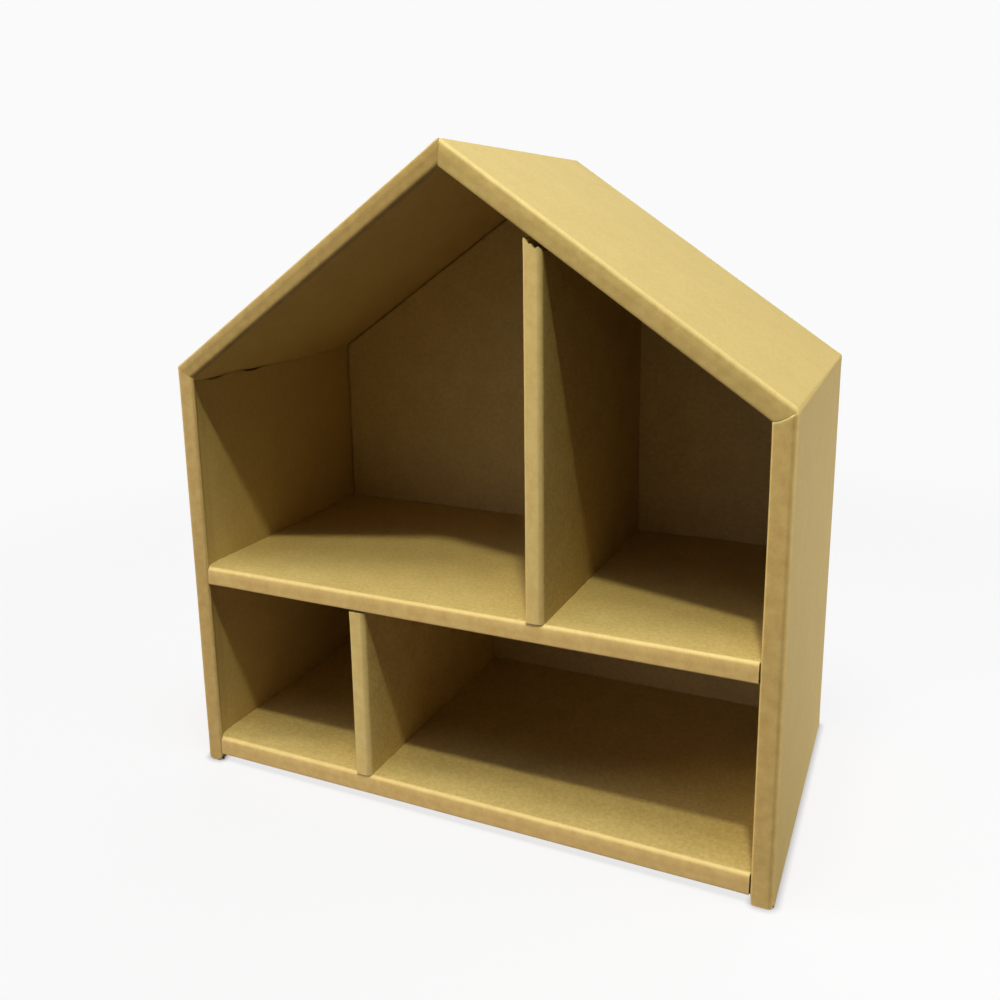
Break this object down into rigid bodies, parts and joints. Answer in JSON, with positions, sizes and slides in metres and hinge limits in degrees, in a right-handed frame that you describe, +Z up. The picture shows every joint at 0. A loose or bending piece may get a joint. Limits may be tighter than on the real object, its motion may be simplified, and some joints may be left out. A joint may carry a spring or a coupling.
{
  "type": "house shaped bookcase",
  "caption": "House shaped bookcase folded from kraft corrugated board: hollow walls and roof, a middle shelf and offset dividers, open at the front with a closed back.",
  "frame": {"origin": "on the floor, under the middle of the house's width and depth", "axes": "+Z up, +X to the right as seen from the front, +Y from the open front to the back"},
  "size_m": [0.56, 0.302, 0.5901],
  "materials": {
    "wrap": "matte kraft liner, faintly mottled, with rounded creases",
    "back": "matte kraft liner",
    "shelf_board": "matte kraft liner with burnished folds",
    "divider_board": "matte kraft liner with raw cut ends"
  },
  "bodies": {
    "root": {"left_wall": "wrap", "right_wall": "wrap", "left_roof": "wrap", "right_roof": "wrap", "back_panel": "back", "base_panel": "shelf_board", "middle_shelf": "shelf_board", "upper_divider": "divider_board", "lower_divider": "divider_board"}
  },
  "joints": []
}
